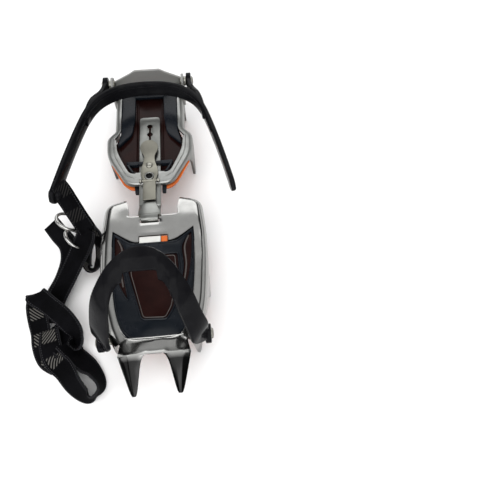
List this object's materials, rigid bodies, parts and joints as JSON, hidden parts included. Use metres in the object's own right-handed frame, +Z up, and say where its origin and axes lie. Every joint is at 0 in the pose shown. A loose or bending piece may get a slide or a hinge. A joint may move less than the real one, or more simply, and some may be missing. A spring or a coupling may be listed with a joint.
{
  "type": "crampon",
  "caption": "Strap-on mountaineering crampon for a left boot: toe and heel frames with points, adjustable link bar, snow guards, two bails and a webbing strap.",
  "frame": {"origin": "on the floor, under the middle of the assembly without its strap", "axes": "+Y towards the heel along the link bar, -Y towards the front points, +Z up, X across"},
  "size_m": [0.197, 0.3241, 0.1102],
  "materials": {
    "polished_steel": "polished stainless sheet",
    "satin_steel": "satin nickel",
    "bail_black": "moulded, glossy",
    "guard_black": "moulded, semi-matte",
    "guard_red": "soft moulded membrane, glossy",
    "guard_orange": "moulded, semi-matte",
    "tag": "plain, blank",
    "webbing": "woven webbing with a grey motif"
  },
  "bodies": {
    "toe": {"toe_frame": "polished_steel", "toe_guard_frame": "guard_black", "toe_guard_membrane": "guard_red", "toe_guard_rim": "guard_orange", "size_tag": "tag", "toe_bail_rivets": "satin_steel", "toe_bail_washers": "satin_steel"},
    "bar": {"link_bar": "satin_steel"},
    "heel": {"heel_frame": "polished_steel", "heel_bracket": "polished_steel", "lever_bracket": "satin_steel", "heel_guard_frame": "guard_black", "heel_guard_membrane": "guard_red", "heel_guard_rim": "guard_orange", "bar_guide": "guard_black", "lever_pivot": "satin_steel", "heel_bail_rivets": "satin_steel", "heel_bail_washers": "satin_steel"},
    "lever": {"adjust_lever": "satin_steel", "lever_pin": "satin_steel", "lever_eyelet": "satin_steel"},
    "toe_bail": {"toe_bail": "bail_black"},
    "heel_bail": {"heel_bail": "bail_black", "strap_tab": "webbing", "tab_rivet": "satin_steel", "ring_a": "polished_steel", "ring_b": "polished_steel", "strap": "webbing"}
  },
  "joints": [
    {"name": "bar_hinge", "type": "hinge", "parent": "toe", "child": "bar", "pos_m": [0, -0.01, 0.0409], "axis": [1, 0, 0], "range_deg": [-4, 25]},
    {"name": "heel_slide", "type": "slide", "parent": "bar", "child": "heel", "axis": [0, 1, 0], "range_m": [0, 0.0315]},
    {"name": "lever_lift", "type": "hinge", "parent": "heel", "child": "lever", "pos_m": [0, 0.0332, 0.0436], "axis": [1, 0, 0], "range_deg": [0, 6.5], "stiffness_Nm_per_rad": 0.05},
    {"name": "toe_bail_swing", "type": "hinge", "parent": "toe", "child": "toe_bail", "pos_m": [0.003, -0.118, 0.034], "axis": [1, 0, 0], "range_deg": [-25, 80]},
    {"name": "heel_bail_swing", "type": "hinge", "parent": "heel", "child": "heel_bail", "pos_m": [0, 0.151, 0.052], "axis": [-1, 0, 0], "range_deg": [-8, 70]}
  ]
}
